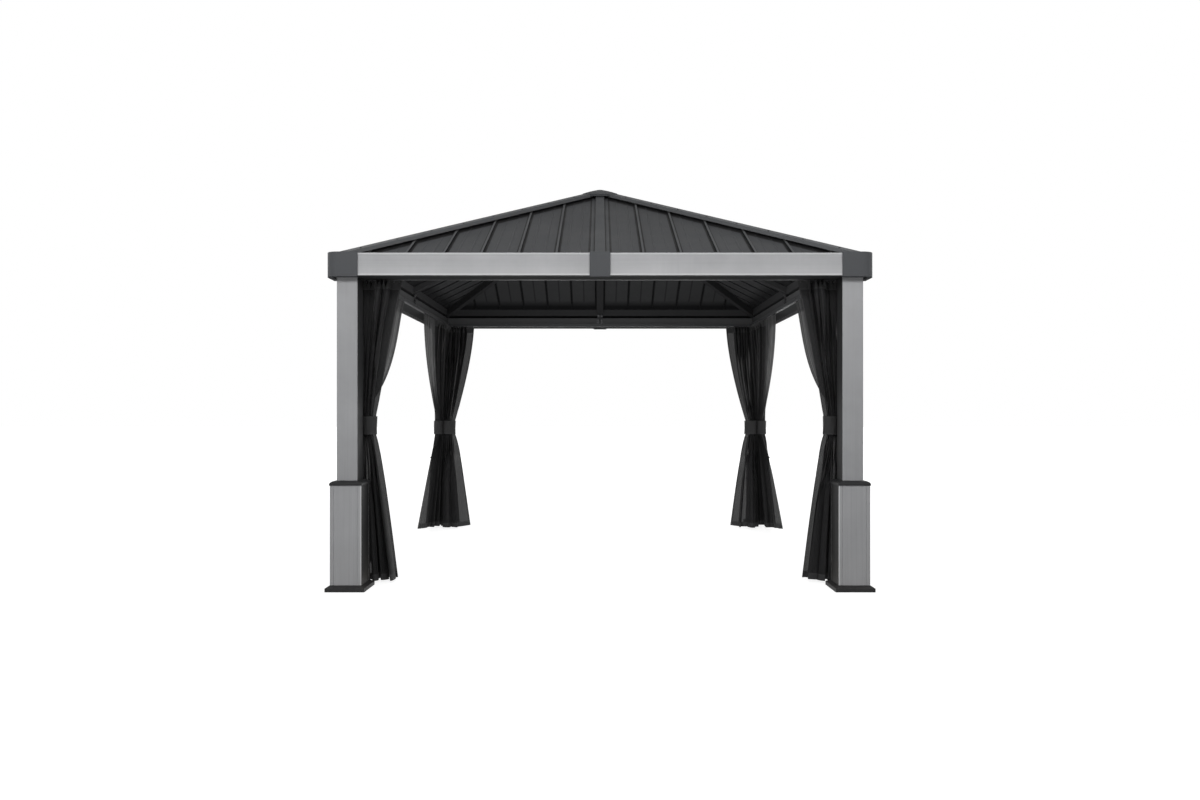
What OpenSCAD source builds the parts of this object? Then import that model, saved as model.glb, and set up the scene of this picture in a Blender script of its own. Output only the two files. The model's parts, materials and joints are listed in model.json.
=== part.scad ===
// Square steel gazebo with a hard pyramid roof, open sides and tied-back netting.
// The origin is at ground level, under the apex. The front looks along -Y.

/* [Plan] */
// Outer width of the square roof, over the corner caps
roof_w = 3660; // [3000:10:4400]
// Distance from the roof's outer face to the posts' outer faces
overhang = 62; // [50:1:120]

/* [Heights] */
// Height of the fascia's lower edge above the ground
eave_z = 2107; // [1900:1:2600]
// Rise of the roof panels for each unit of run
roof_slope = 0.4956; // [0.35:0.01:0.65]
// Height of the roof plane above the fascia's lower edge, at the roof's outer face
panel_lift = 86; // [70:1:120]

/* [Posts] */
// Width of a square post
post_w = 140; // [90:1:180]
// Wall of a post
post_wall = 2; // [1.5:0.1:5]
// Corner radius of a post
post_r = 8; // [4:1:16]
// Thickness of the foot plate
foot_t = 6; // [4:0.5:12]
// Radius of an anchor hole
anchor_r = 6.5; // [4:0.5:8]

/* [Post bases] */
// Distance from a face of the post to the face of the box around its foot
box_out = 34; // [28:1:50]
// Wall of the box
box_wall = 2; // [1:0.1:4]
// Height of the box's top edge
box_top = 707; // [400:1:900]
// Distance from the box's edge to its upright groove
groove_inset = 24; // [14:1:40]
// Width of an upright groove
groove_w = 3; // [2:0.5:6]
// Distance that the skirt stands out from the box
skirt_out = 28; // [15:1:50]
// Height of the skirt's upright rim
skirt_rim = 25; // [15:1:35]
// Height of the whole skirt
skirt_h = 41; // [38:1:70]
// Wall of the skirt and of the cap on the box
trim_wall = 3; // [2:0.5:4]
// Distance that the cap stands out from the box
cap_out = 5; // [3:1:12]
// Height of the cap on the box
cap_h = 31; // [20:1:50]

/* [Ring beams and curtain tracks] */
// Height of a ring beam
beam_h = 93; // [60:1:130]
// Wall of a ring beam
beam_wall = 2; // [1.5:0.1:4]
// Width of the curtain track
track_w = 24; // [18:1:32]
// Height of the curtain track
track_h = 30; // [20:1:40]
// Wall of the curtain track
track_wall = 2; // [1.5:0.1:3]
// Width of the slot under the curtain track
track_slot = 8; // [5:1:10]

/* [Fascia] */
// Height of the fascia boards
fascia_h = 150; // [120:1:200]
// Thickness of the fascia's sheet
fascia_t = 2; // [1:0.1:3]
// Width of the fascia's top lip
fascia_lip = 18; // [10:1:30]
// Height of the raised edge along the top and bottom of a board
bead_h = 10; // [6:1:20]
// Depth of the flat between the raised edges
bead_d = 2; // [1:0.5:4]
// Gap between the two boards of a side
joint_gap = 4; // [2:1:10]
// Length of a corner cap's arm
corner_arm = 219; // [160:1:300]
// Radius of a corner cap
corner_r = 80; // [30:1:120]
// Width of the joint cover in the middle of a side
cover_w = 138; // [80:1:200]
// Thickness of the caps' and covers' wall
cover_t = 4; // [2:0.5:5]
// Gap between a fascia board and the caps over it
cover_gap = 3; // [1:0.5:5]
// Depth of the caps' lips over and under the fascia
cover_lip = 35; // [20:1:45]

/* [Roof] */
// Thickness of the roof sheet
sheet_t = 1.5; // [0.8:0.1:3]
// Distance of the first roof rib from the middle of a side
rib_first = 296; // [200:1:400]
// Distance between roof ribs
rib_pitch = 256; // [180:1:400]
// Width of a roof rib
rib_w = 15; // [10:1:40]
// Height of a roof rib
rib_h = 20; // [12:1:35]
// Width of the batten in the middle of a side
batten_w = 72; // [40:1:110]
// Width over the batten's flanges
batten_flange_w = 132; // [120:1:180]
// Height of the batten
batten_h = 24; // [12:1:35]
// Wall of the battens and hip caps
flashing_t = 2; // [1:0.1:3]
// Width of each wing of a hip cap, across the eave direction
hip_wing = 62; // [45:1:90]
// Height of a hip cap's edge
hip_lip = 27; // [15:1:40]
// Width of the square cap on the apex
top_w = 298; // [240:1:360]
// Height of the rim of the cap on the apex
top_rim = 20; // [12:1:25]
// Outward bow of the slopes of the cap on the apex
top_bow = 4; // [0:1:8]

/* [Roof frame] */
// Width of a hip rafter
hip_w = 50; // [30:1:60]
// Depth of a hip rafter
hip_d = 70; // [40:1:80]
// Width of a centre rafter
centre_w = 70; // [30:1:76]
// Depth of a centre rafter
centre_d = 50; // [30:1:70]
// Wall of the rafters and eave rails
rafter_wall = 2; // [1.5:0.1:4]
// Width of an eave rail
rail_w = 62; // [40:1:80]
// Gap between the ring beams and the eave rails
rail_gap = 26; // [10:1:30]
// Distance from the axis to each flat of the apex hub
hub_r = 96; // [90:1:110]
// Wall of the apex hub
hub_wall = 3; // [2:0.5:6]
// Height of the apex hub beyond the depth of a hip rafter
hub_extra = 14; // [5:1:30]
// Width of the bracket that ties an eave rail to its beam
bracket_w = 58; // [30:1:70]
// Thickness of the bracket
bracket_t = 3; // [2:0.5:6]

/* [Netting] */
// Thickness of a hanging net where it is spread
net_t = 40; // [20:1:50]
// Radius of a net where the strap gathers it
tie_r = 46; // [30:1:47]
// Height of the middle of the front tie-back straps
tie_z = 1105; // [900:1:1300]
// Height of the middle of the rear tie-back straps
tie_rear_z = 1035; // [900:1:1300]
// Height of a tie-back strap
strap_h = 127; // [60:1:160]
// Thickness of a tie-back strap
strap_t = 2; // [1:0.5:3]
// Gap between the netting's hem and the ground
hem_z = 20; // [10:1:120]
// Width of a front or rear net along its track
net_short_w = 245; // [150:1:400]
// Width of a side net along its track
net_long_w = 1180; // [700:1:1300]
// Distance that the free corner of a front or rear net is drawn in at its hem
draw_short = 30; // [0:5:100]
// Distance that the free corner of a side net is drawn in at its hem
draw_long = 330; // [0:5:400]
// Distance that the hem of a front or rear net flares in towards the room
flare_short = 190; // [40:5:300]
// Distance that the hem of a side net stands out past its strap
flare_long = 20; // [0:1:40]
// Distance from a post's axis to the gathered front or rear net
bundle_in = 92; // [80:1:120]
// Gap between the two gathered nets at a post
bundle_gap = 8; // [4:1:20]

/* [Hidden] */
$fn = 48;
fit = 0.5;
cut = 1;
foot_clear = 2;
post_clear = 5;
board_clear = 5;
mitre_gap = 2;
bracket_clear = 4;
net_clear = 4;

half_w = roof_w / 2;
fascia_out = half_w - cover_t - cover_gap;
post_out = half_w - overhang;
post_in = post_out - post_w;
post_c = post_out - post_w / 2;
frame_z = eave_z + beam_h;
box_w = post_w + 2 * box_out;
foot_w = box_w - 2 * (box_wall + foot_clear);
anchor_pitch = (post_w + foot_w) / 2;
panel_low_t = fascia_out - fascia_lip - fascia_t;
panel_high_t = 40;
rib_count = 1 + floor((panel_low_t - hip_wing / 3 - rib_first) / rib_pitch);
under = sheet_t + fit;
hip_drop = roof_slope * hip_w / (2 * sqrt(2));
rail_t1 = post_in + rail_w;
hip_u1 = (rail_t1 - 4) * sqrt(2);
hub_top = roof_z(hub_r / cos(22.5)) - under;
cover_z = eave_z - cover_t - cover_gap;
cover_h = fascia_h + 2 * (cover_t + cover_gap);
batten_high_t = top_w / 2 - 30;
hip_high_t = hip_wing + 6;
hip_low_t = min(panel_low_t, half_w - corner_r);
hip_base = rib_h + fit;
roof_top = roof_z(0) + 2 * (rib_h + hip_lip);

// The bundles stand behind the posts and clear of the boxes around the posts' feet
bundle_y = post_c - box_w / 2 - cap_out - net_clear - tie_r;
bundle_short_x = post_c - bundle_in;
bundle_long_x = bundle_short_x + 2 * tie_r + bundle_gap;
net_top = eave_z - net_clear;
hem_y = post_c - box_w / 2 - skirt_out - net_clear;
net_band = 20;
net_t0 = post_in - fit - (track_w + net_t) / 2;
net_t1 = net_t0 + net_t;

SIDES = [["front", 0], ["right", 90], ["rear", 180], ["left", 270]];
CORNERS = [["front_left", -1, -1], ["front_right", 1, -1], ["rear_right", 1, 1], ["rear_left", -1, 1]];
SHORT_NETS = [["net_front_left", -1, -1], ["net_front_right", 1, -1],
              ["net_rear_right", 1, 1], ["net_rear_left", -1, 1]];
LONG_NETS = [["net_left_front", -1, -1], ["net_right_front", 1, -1],
             ["net_right_rear", 1, 1], ["net_left_rear", -1, 1]];
SINGLES = ["base_caps", "corner_caps", "fascia_joint_covers", "eave_rails", "hip_rafters",
           "centre_rafters", "rafter_brackets", "apex_hub", "hip_caps", "roof_battens", "top_cap",
           "curtain_tracks", "tie_straps"];

light_grey = [0.64, 0.65, 0.66];
charcoal = [0.2, 0.21, 0.22];
slate = [0.29, 0.31, 0.32];
aluminium = [0.75, 0.76, 0.77];
mesh_black = [0.08, 0.08, 0.09];

// Height of the roof sheet's upper face at a horizontal distance t from the apex
function roof_z(t) = eave_z + panel_lift + roof_slope * (half_w - t);

// A square with true round corners, centred on the origin
module rounded_square(w, r) {
    square([w - 2 * r, w], center = true);
    square([w, w - 2 * r], center = true);
    for (x = [-1, 1], y = [-1, 1])
        translate([x * (w / 2 - r), y * (w / 2 - r)])
            circle(r);
}

// Runs a profile drawn in (distance out from the middle, height) along the front side, from x0 to x1
module along_side(x0, x1) {
    translate([x1, 0, 0])
        rotate([90, 0, -90])
            linear_extrude(x1 - x0)
                children();
}

// A layer of the front roof slope, between the heights a and b over its sheet
module roof_layer(a, b, t0, t1, x0, x1) {
    along_side(x0, x1)
        polygon([[t0, roof_z(t0) + a], [t1, roof_z(t1) + a], [t1, roof_z(t1) + b], [t0, roof_z(t0) + b]]);
}

// The upright wedge of space over the front side, kept back from both hips by the inset
module side_wedge(inset) {
    linear_extrude(roof_top)
        polygon([[-inset, -2 * inset - cut], [inset, -2 * inset - cut],
                 [half_w - inset, -half_w], [inset - half_w, -half_w]]);
}

// The upright strip of space beside the front-left hip, from the distance a to b in x
module hip_strip(a, b) {
    linear_extrude(roof_top)
        polygon([[a, 0], [b, 0], [b - half_w, -half_w], [a - half_w, -half_w]]);
}

// Places a piece made for the rear-right corner at any corner
module at_corner(x, y) {
    mirror([x < 0 ? 1 : 0, 0, 0])
        mirror([0, y < 0 ? 1 : 0, 0])
            children();
}

// Steel tube with a foot plate welded under it, drilled for ground anchors
module post() {
    color(light_grey)
        translate([post_c, post_c, 0]) {
            translate([0, 0, foot_t])
                linear_extrude(frame_z - foot_t)
                    difference() {
                        rounded_square(post_w, post_r);
                        rounded_square(post_w - 2 * post_wall, post_r - post_wall);
                    }
            linear_extrude(foot_t)
                difference() {
                    square(foot_w, center = true);
                    for (x = [-1, 1], y = [-1, 1])
                        translate([x, y] * anchor_pitch / 2)
                            circle(anchor_r);
                }
        }
}

// A square block with a profile on all four sides: two extrusions of the same outline, crossed
module square_block(w, outline) {
    intersection() {
        rotate([90, 0, 0])
            linear_extrude(w, center = true)
                polygon(outline);
        rotate([90, 0, 90])
            linear_extrude(w, center = true)
                polygon(outline);
    }
}

function skirt_outline(w, top, rim, h) = [
    [-w / 2, 0],
    [w / 2, 0],
    [w / 2, rim],
    [top / 2, h],
    [-top / 2, h],
    [-w / 2, rim]
];

// Chamfered cover round the foot plate: it carries the box
module base_skirt() {
    w = box_w + 2 * skirt_out;
    inner = w - 2 * trim_wall;
    color(charcoal)
        translate([post_c, post_c, 0])
            difference() {
                square_block(w, skirt_outline(w, box_w, skirt_rim, skirt_h));
                translate([0, 0, -cut])
                    square_block(inner, skirt_outline(inner, box_w - 2 * trim_wall,
                        skirt_rim + cut - trim_wall / 2, skirt_h + cut - trim_wall));
                linear_extrude(skirt_h + cut)
                    square(post_w + 2 * post_clear, center = true);
            }
}

// Square cover round the lower part of the post, with two upright grooves on each face
module base_box() {
    color(light_grey)
        translate([post_c, post_c, skirt_h])
            linear_extrude(box_top - skirt_h)
                difference() {
                    rounded_square(box_w, post_r);
                    rounded_square(box_w - 2 * box_wall, post_r - box_wall);
                    for (a = [0:90:270], s = [-1, 1])
                        rotate(a)
                            translate([box_w / 2, s * (box_w / 2 - groove_inset)])
                                square([box_wall, groove_w], center = true);
                }
}

// The cap's side view: an upright rim, then a quarter round up to the post
function cap_outline(w, inner, rim, h) = concat(
    [[-w / 2, 0], [w / 2, 0]],
    [for (a = [0:15:90]) [inner / 2 + (w - inner) / 2 * cos(a), rim + (h - rim) * sin(a)]],
    [for (a = [90:-15:0]) [-inner / 2 - (w - inner) / 2 * cos(a), rim + (h - rim) * sin(a)]]
);

module base_caps() {
    w = box_w + 2 * cap_out;
    inner = w - 2 * trim_wall;
    color(charcoal)
        for (c = CORNERS)
            translate([c[1] * post_c, c[2] * post_c, box_top])
                difference() {
                    square_block(w, cap_outline(w, post_w, cap_h / 4, cap_h));
                    translate([0, 0, -cut])
                        square_block(inner, cap_outline(inner, post_w, cap_h / 4, cap_h + cut - trim_wall));
                    linear_extrude(cap_h + cut)
                        square(post_w + 2 * fit, center = true);
                }
}

// Box beam between two posts
module ring_beam() {
    color(charcoal)
        along_side(fit - post_in, post_in - fit)
            difference() {
                translate([post_in, eave_z])
                    square([post_w, beam_h]);
                translate([post_in + beam_wall, eave_z + beam_wall])
                    square([post_w - 2 * beam_wall, beam_h - 2 * beam_wall]);
            }
}

// The fascia's folded sheet, its lower flange against the ring beam
function fascia_outline() = [
    [post_out + fit, eave_z],
    [fascia_out, eave_z],
    [fascia_out, eave_z + bead_h],
    [fascia_out - bead_d, eave_z + bead_h + bead_d],
    [fascia_out - bead_d, eave_z + fascia_h - bead_h - bead_d],
    [fascia_out, eave_z + fascia_h - bead_h],
    [fascia_out, eave_z + fascia_h],
    [fascia_out - fascia_lip, eave_z + fascia_h],
    [fascia_out - fascia_lip, eave_z + fascia_h - fascia_t],
    [fascia_out - bead_d - fascia_t, eave_z + fascia_h - fascia_t],
    [fascia_out - bead_d - fascia_t, eave_z + fascia_t],
    [post_out + fit, eave_z + fascia_t]
];

// Two boards on each side, end to end
module fascia() {
    board_end = half_w - corner_r - board_clear;
    color(light_grey) {
        along_side(joint_gap / 2, board_end)
            polygon(fascia_outline());
        along_side(-board_end, -joint_gap / 2)
            polygon(fascia_outline());
    }
}

// The plan of a corner cap's band, with the given depth
module corner_band(depth) {
    intersection() {
        difference() {
            rounded_square(2 * half_w, corner_r);
            rounded_square(2 * (half_w - depth), max(corner_r - depth, 2));
        }
        translate([half_w - corner_arm, half_w - corner_arm])
            square(corner_arm + cut);
    }
}

module corner_caps() {
    color(slate)
        for (c = CORNERS)
            at_corner(c[1], c[2])
                translate([0, 0, cover_z]) {
                    linear_extrude(cover_h)
                        corner_band(cover_t);
                    linear_extrude(cover_t)
                        corner_band(cover_lip);
                    translate([0, 0, cover_h - cover_t])
                        linear_extrude(cover_t)
                            corner_band(cover_lip);
                }
}

// Folded covers over the joint between two boards
module fascia_joint_covers() {
    color(slate)
        for (s = SIDES)
            rotate(s[1])
                along_side(-cover_w / 2, cover_w / 2)
                    difference() {
                        translate([half_w - cover_lip, cover_z])
                            square([cover_lip, cover_h]);
                        translate([half_w - cover_lip - cut, cover_z + cover_t])
                            square([cover_lip + cut - cover_t, cover_h - 2 * cover_t]);
                    }
}

// Sheet of one roof slope with its standing ribs
module roof_panel() {
    color(slate) {
        intersection() {
            roof_layer(-sheet_t, 0, panel_high_t, panel_low_t, -half_w, half_w);
            side_wedge(mitre_gap);
        }
        intersection() {
            for (k = [0:rib_count - 1], s = [-1, 1])
                let (x = s * (rib_first + k * rib_pitch))
                    roof_layer(-sheet_t, rib_h, panel_high_t, panel_low_t, x - rib_w / 2, x + rib_w / 2);
            side_wedge(hip_wing / 3);
        }
    }
}

// Repeats a wing made on the front slope beside the front-left hip, on both sides of every hip
module both_wings() {
    for (s = SIDES, m = [0, 1])
        rotate(s[1])
            mirror([m, -m, 0])
                children();
}

// Folded flashing over each hip, resting on the ribs
module hip_caps() {
    color(slate)
        both_wings()
            intersection() {
                difference() {
                    roof_layer(hip_base, hip_base + hip_lip, hip_high_t, hip_low_t, -half_w, 0);
                    intersection() {
                        roof_layer(hip_base - cut, hip_base + hip_lip - flashing_t, hip_high_t - cut,
                            hip_low_t + cut, -half_w - cut, cut);
                        hip_strip(-cut, hip_wing - flashing_t);
                    }
                }
                hip_strip(0, hip_wing);
            }
}

// Top hat flashing up the middle of each slope
module roof_battens() {
    half_flange = batten_flange_w / 2;
    half_batten = batten_w / 2;
    color(slate)
        for (s = SIDES)
            rotate(s[1])
                difference() {
                    union() {
                        roof_layer(fit, fit + flashing_t, batten_high_t, panel_low_t,
                            -half_flange, half_flange);
                        roof_layer(fit, batten_h, batten_high_t, panel_low_t, -half_batten, half_batten);
                    }
                    roof_layer(fit - cut, batten_h - flashing_t, batten_high_t - cut, panel_low_t + cut,
                        flashing_t - half_batten, half_batten - flashing_t);
                }
}

// Height of the apex cap's outer face at the share k of its half width: it clears the hip caps
function peak_z(k) = roof_z(k * top_w / 2) + hip_base + hip_lip + fit + trim_wall
    + 4 * top_bow * k * (1 - k);

// The apex cap's solid shape, drawn in by a wall on every face and lowered by a drop at its foot
module peak(wall, drop) {
    foot = peak_z(1) - top_rim - drop;
    hull()
        for (k = [1, 0.7, 0.45, 0.2, 0.06])
            translate([0, 0, foot])
                linear_extrude(peak_z(k) - wall - foot)
                    square(k * top_w - 2 * k * wall, center = true);
}

// Square cap over the tops of the hip caps, notched at its corners where they pass in
module top_cap() {
    color(slate)
        difference() {
            peak(0, 0);
            peak(trim_wall, cut);
            both_wings()
                intersection() {
                    roof_layer(0, hip_base + hip_lip + fit, hip_high_t, top_w, -half_w, cut);
                    hip_strip(-cut, hip_wing + fit);
                }
        }
}

// Rectangular tube that follows a slope: u runs out from the axis, drop is from the roof plane to its top
module sloped_tube(u0, u1, scale_u, drop, depth, w) {
    module bar(u_a, u_b, top, bottom, width)
        rotate([90, 0, 0])
            linear_extrude(width, center = true)
                polygon([[u_a, roof_z(u_a / scale_u) - bottom], [u_b, roof_z(u_b / scale_u) - bottom],
                         [u_b, roof_z(u_b / scale_u) - top], [u_a, roof_z(u_a / scale_u) - top]]);
    difference() {
        bar(u0, u1, drop, drop + depth, w);
        bar(u0 - cut, u1 + cut, drop + rafter_wall, drop + depth - rafter_wall, w - 2 * rafter_wall);
    }
}

// Diagonal tubes from the hub to seats on the posts
module hip_rafters() {
    color(charcoal)
        for (a = [45:90:315])
            rotate(a)
                difference() {
                    sloped_tube(hub_r + fit, hip_u1, sqrt(2), under + hip_drop, hip_d, hip_w);
                    translate([0, -hip_w, 0])
                        cube([2 * half_w, 2 * hip_w, frame_z]);
                }
}

module centre_rafters() {
    color(charcoal)
        for (a = [0:90:270])
            rotate(a)
                sloped_tube(hub_r + fit, post_in - fit, 1, under, centre_d, centre_w);
}

// Octagonal box that the eight rafters butt against
module apex_hub() {
    drop = hip_d + hub_extra;
    color(charcoal)
        translate([0, 0, hub_top - drop])
            rotate(22.5)
                difference() {
                    cylinder(r = hub_r / cos(22.5), h = drop, $fn = 8);
                    translate([0, 0, hub_wall])
                        cylinder(r = (hub_r - hub_wall) / cos(22.5), h = drop, $fn = 8);
                }
}

// An eave rail's section, drawn in by a wall on every side: its top follows the roof
function rail_outline(wall) = [
    [post_in + wall, frame_z + rail_gap + wall],
    [rail_t1 - wall, frame_z + rail_gap + wall],
    [rail_t1 - wall, roof_z(rail_t1) - under - wall],
    [post_in + wall, roof_z(post_in) - under - wall]
];

// Tubes under the lower edge of the roof sheets, cut to the hip rafters
module eave_rails() {
    color(charcoal)
        for (s = SIDES)
            rotate(s[1])
                intersection() {
                    along_side(-half_w, half_w)
                        difference() {
                            polygon(rail_outline(0));
                            polygon(rail_outline(rafter_wall));
                        }
                    side_wedge(hip_w / sqrt(2) + fit);
                }
}

// Plates that hold each eave rail to the ring beam below it, under the end of the centre rafter
module rafter_brackets() {
    bottom = eave_z + track_h + bracket_clear;
    top = roof_z(post_in) - under - centre_d - bracket_clear;
    color(charcoal)
        for (s = SIDES)
            rotate(s[1])
                along_side(-bracket_w / 2, bracket_w / 2)
                    translate([post_in - bracket_t - fit, bottom])
                        square([bracket_t, top - bottom]);
}

// Slotted tracks on the inner faces of the ring beams
module curtain_tracks() {
    t0 = post_in - fit - track_w;
    color(aluminium)
        for (s = SIDES)
            rotate(s[1])
                intersection() {
                    along_side(-half_w, half_w)
                        difference() {
                            translate([t0, eave_z])
                                square([track_w, track_h]);
                            translate([t0 + track_wall, eave_z + track_wall])
                                square([track_w - 2 * track_wall, track_h - 2 * track_wall]);
                            translate([t0 + (track_w - track_slot) / 2, eave_z - cut])
                                square([track_slot, track_wall + 2 * cut]);
                        }
                    side_wedge(mitre_gap);
                }
}

// Height of the middle of a strap: y is below 0 at the front posts and above 0 at the rear ones
function strap_z(y) = y < 0 ? tie_z : tie_rear_z;

// A net gathered by its strap: spread along its track, round in the strap and flared to its hem
module gathered_net(top_lo, top_hi, tie, hem_lo, hem_hi) {
    color(mesh_black) {
        hull() {
            translate([top_lo[0], top_lo[1], net_top - net_band])
                cube([top_hi[0] - top_lo[0], top_hi[1] - top_lo[1], net_band]);
            translate([tie[0], tie[1], tie[2] + strap_h / 2])
                cylinder(r = tie_r, h = cut, $fn = 24);
        }
        translate([tie[0], tie[1], tie[2] - strap_h / 2])
            cylinder(r = tie_r, h = strap_h, $fn = 24);
        hull() {
            translate([tie[0], tie[1], tie[2] - strap_h / 2 - cut])
                cylinder(r = tie_r, h = cut, $fn = 24);
            translate([hem_lo[0], hem_lo[1], hem_z])
                cube([hem_hi[0] - hem_lo[0], hem_hi[1] - hem_lo[1], net_band]);
        }
    }
}

// Half of the front or rear net, drawn to its post
module net_short(z) {
    x0 = net_t0 - net_short_w;
    gathered_net([x0, net_t0], [net_t0, net_t1], [bundle_short_x, bundle_y, z],
        [x0 + draw_short, bundle_y - flare_short], [bundle_short_x + tie_r, hem_y]);
}

// Half of a side net, drawn to its post
module net_long(z) {
    y1 = net_t0 - track_w;
    gathered_net([net_t0, y1 - net_long_w], [net_t1, y1], [bundle_long_x, bundle_y, z],
        [bundle_long_x - tie_r + fit, y1 - net_long_w + draw_long],
        [bundle_long_x + tie_r + flare_long, hem_y]);
}

// Bands round the gathered nets
module tie_straps() {
    color(mesh_black)
        for (c = CORNERS, x = [bundle_short_x, bundle_long_x])
            at_corner(c[1], c[2])
                translate([x, bundle_y, strap_z(c[2]) - strap_h / 2])
                    difference() {
                        cylinder(r = tie_r + fit + strap_t, h = strap_h);
                        translate([0, 0, -cut])
                            cylinder(r = tie_r + fit, h = strap_h + 2 * cut);
                    }
}

for (c = CORNERS) {
    at_corner(c[1], c[2]) post();
    at_corner(c[1], c[2]) base_skirt();
    at_corner(c[1], c[2]) base_box();
}
for (s = SIDES) {
    rotate(s[1]) ring_beam();
    rotate(s[1]) fascia();
    rotate(s[1]) roof_panel();
}
for (n = SHORT_NETS) {
    at_corner(n[1], n[2]) net_short(strap_z(n[2]));
}
for (n = LONG_NETS) {
    at_corner(n[1], n[2]) net_long(strap_z(n[2]));
}
base_caps();
corner_caps();
fascia_joint_covers();
eave_rails();
hip_rafters();
centre_rafters();
rafter_brackets();
apex_hub();
hip_caps();
roof_battens();
top_cap();
curtain_tracks();
tie_straps();
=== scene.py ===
import itertools
import json
import math

import bmesh
import bpy
import numpy as np
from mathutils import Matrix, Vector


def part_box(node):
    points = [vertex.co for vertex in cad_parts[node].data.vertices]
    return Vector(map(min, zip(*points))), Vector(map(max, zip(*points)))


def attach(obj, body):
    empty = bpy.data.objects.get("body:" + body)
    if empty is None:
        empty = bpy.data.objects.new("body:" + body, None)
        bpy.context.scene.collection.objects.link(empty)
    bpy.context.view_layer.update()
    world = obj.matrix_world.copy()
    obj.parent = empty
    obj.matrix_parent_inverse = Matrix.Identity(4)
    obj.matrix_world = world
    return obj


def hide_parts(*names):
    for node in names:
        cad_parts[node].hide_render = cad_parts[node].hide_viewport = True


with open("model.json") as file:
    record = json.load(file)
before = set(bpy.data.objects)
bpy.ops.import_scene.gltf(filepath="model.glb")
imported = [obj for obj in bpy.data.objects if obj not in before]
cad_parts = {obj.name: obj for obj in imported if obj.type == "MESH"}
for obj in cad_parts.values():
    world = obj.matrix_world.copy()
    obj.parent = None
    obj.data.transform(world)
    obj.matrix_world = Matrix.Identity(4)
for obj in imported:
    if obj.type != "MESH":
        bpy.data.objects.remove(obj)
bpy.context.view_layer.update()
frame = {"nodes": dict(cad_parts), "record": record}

# Sizes that the fittings take from the frame, in metres: heights, and distances from the middle in x or y
beam_low, beam_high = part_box("ring_beam_right")
EAVE, POST_IN, POST_OUT = beam_low.z, beam_low.x, beam_high.x
FASCIA_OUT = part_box("fascia_right")[1].x
COVER_LOW, COVER_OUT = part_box("corner_caps")[0].z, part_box("corner_caps")[1].x
TRACK_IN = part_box("curtain_tracks")[1].x
TRACK_MID = TRACK_IN - 0.012  # the middle line of each track's slot
box_low, box_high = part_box("base_box_rear_right")
BOX_IN, BOX_OUT, BOX_TOP = box_low.x, box_high.x, box_high.z
# The roof sheets' gauge and slope, their ribs along the eave, and the free strip beside each hip
SHEET = 0.0015
panel_low, panel_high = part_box("roof_panel_front")
LOW_T, HIGH_T = -panel_low.y, -panel_high.y
SLOPE = (panel_high.z - panel_low.z - SHEET) / (LOW_T - HIGH_T)
RIB_FIRST, RIB_PITCH, RIB_COUNT = 0.296, 0.256, 6
RIB_W, RIB_H = 0.015, 0.020
HIP_EDGE = 0.098


def roof(t):
    """Height of the roof sheet's upper face at a distance t from the apex, measured square to the eave."""
    return panel_low.z + SHEET + SLOPE * (LOW_T - np.asarray(t, float))


# ---------------- camera, floor and light


def look():
    """The eye: in front of the middle, at a standing height, and level."""
    cam = bpy.data.cameras.new("camera")
    cam.sensor_width = 36.0
    cam.lens = 25.6
    cam.shift_y = 0.01
    cam.clip_end = 200
    rig = bpy.data.objects.new("camera", cam)
    rig.location = (0.0, -7.495, 1.198)
    rig.rotation_euler = (math.radians(90), 0, 0)
    bpy.context.scene.collection.objects.link(rig)
    bpy.context.scene.camera = rig


def softbox(name, place, aim, size, watts):
    """A rectangular lamp at a place, turned to its aim and unseen by the camera."""
    lamp = bpy.data.lights.new(name, "AREA")
    lamp.shape = "RECTANGLE"
    lamp.size, lamp.size_y = size
    lamp.energy = watts
    rig = bpy.data.objects.new(name, lamp)
    rig.location = place
    rig.visible_camera = False
    toward = np.array(aim, float) - np.array(place, float)
    toward /= np.linalg.norm(toward)
    rig.rotation_euler = (math.acos(-toward[2]), 0, math.atan2(-toward[0], toward[1]))
    bpy.context.scene.collection.objects.link(rig)


def seen_white(b, kind, strength):
    """A white glow, and a mask of what the camera, gloss and glass see, to mix it over a lit shader."""
    path = b.put("ShaderNodeLightPath").outputs
    seen = b.math("MAXIMUM", path["Is Camera Ray"], path["Is Glossy Ray"])
    seen = b.math("MAXIMUM", seen, path["Is Transmission Ray"])
    glow = b.put(kind)
    b.wire((1, 1, 1, 1), glow, "Color")
    b.wire(strength, glow, "Strength")
    return glow.outputs[0], seen


def mixed(b, share, first, second, end):
    """The first shader, with a share of the second in its place, wired to the tree's end."""
    mix = b.put("ShaderNodeMixShader")
    for key, source in enumerate((share, first, second)):
        b.wire(source, mix, key)
    b.wire(mix.outputs[0], b.tree.nodes[end], 0)


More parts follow.
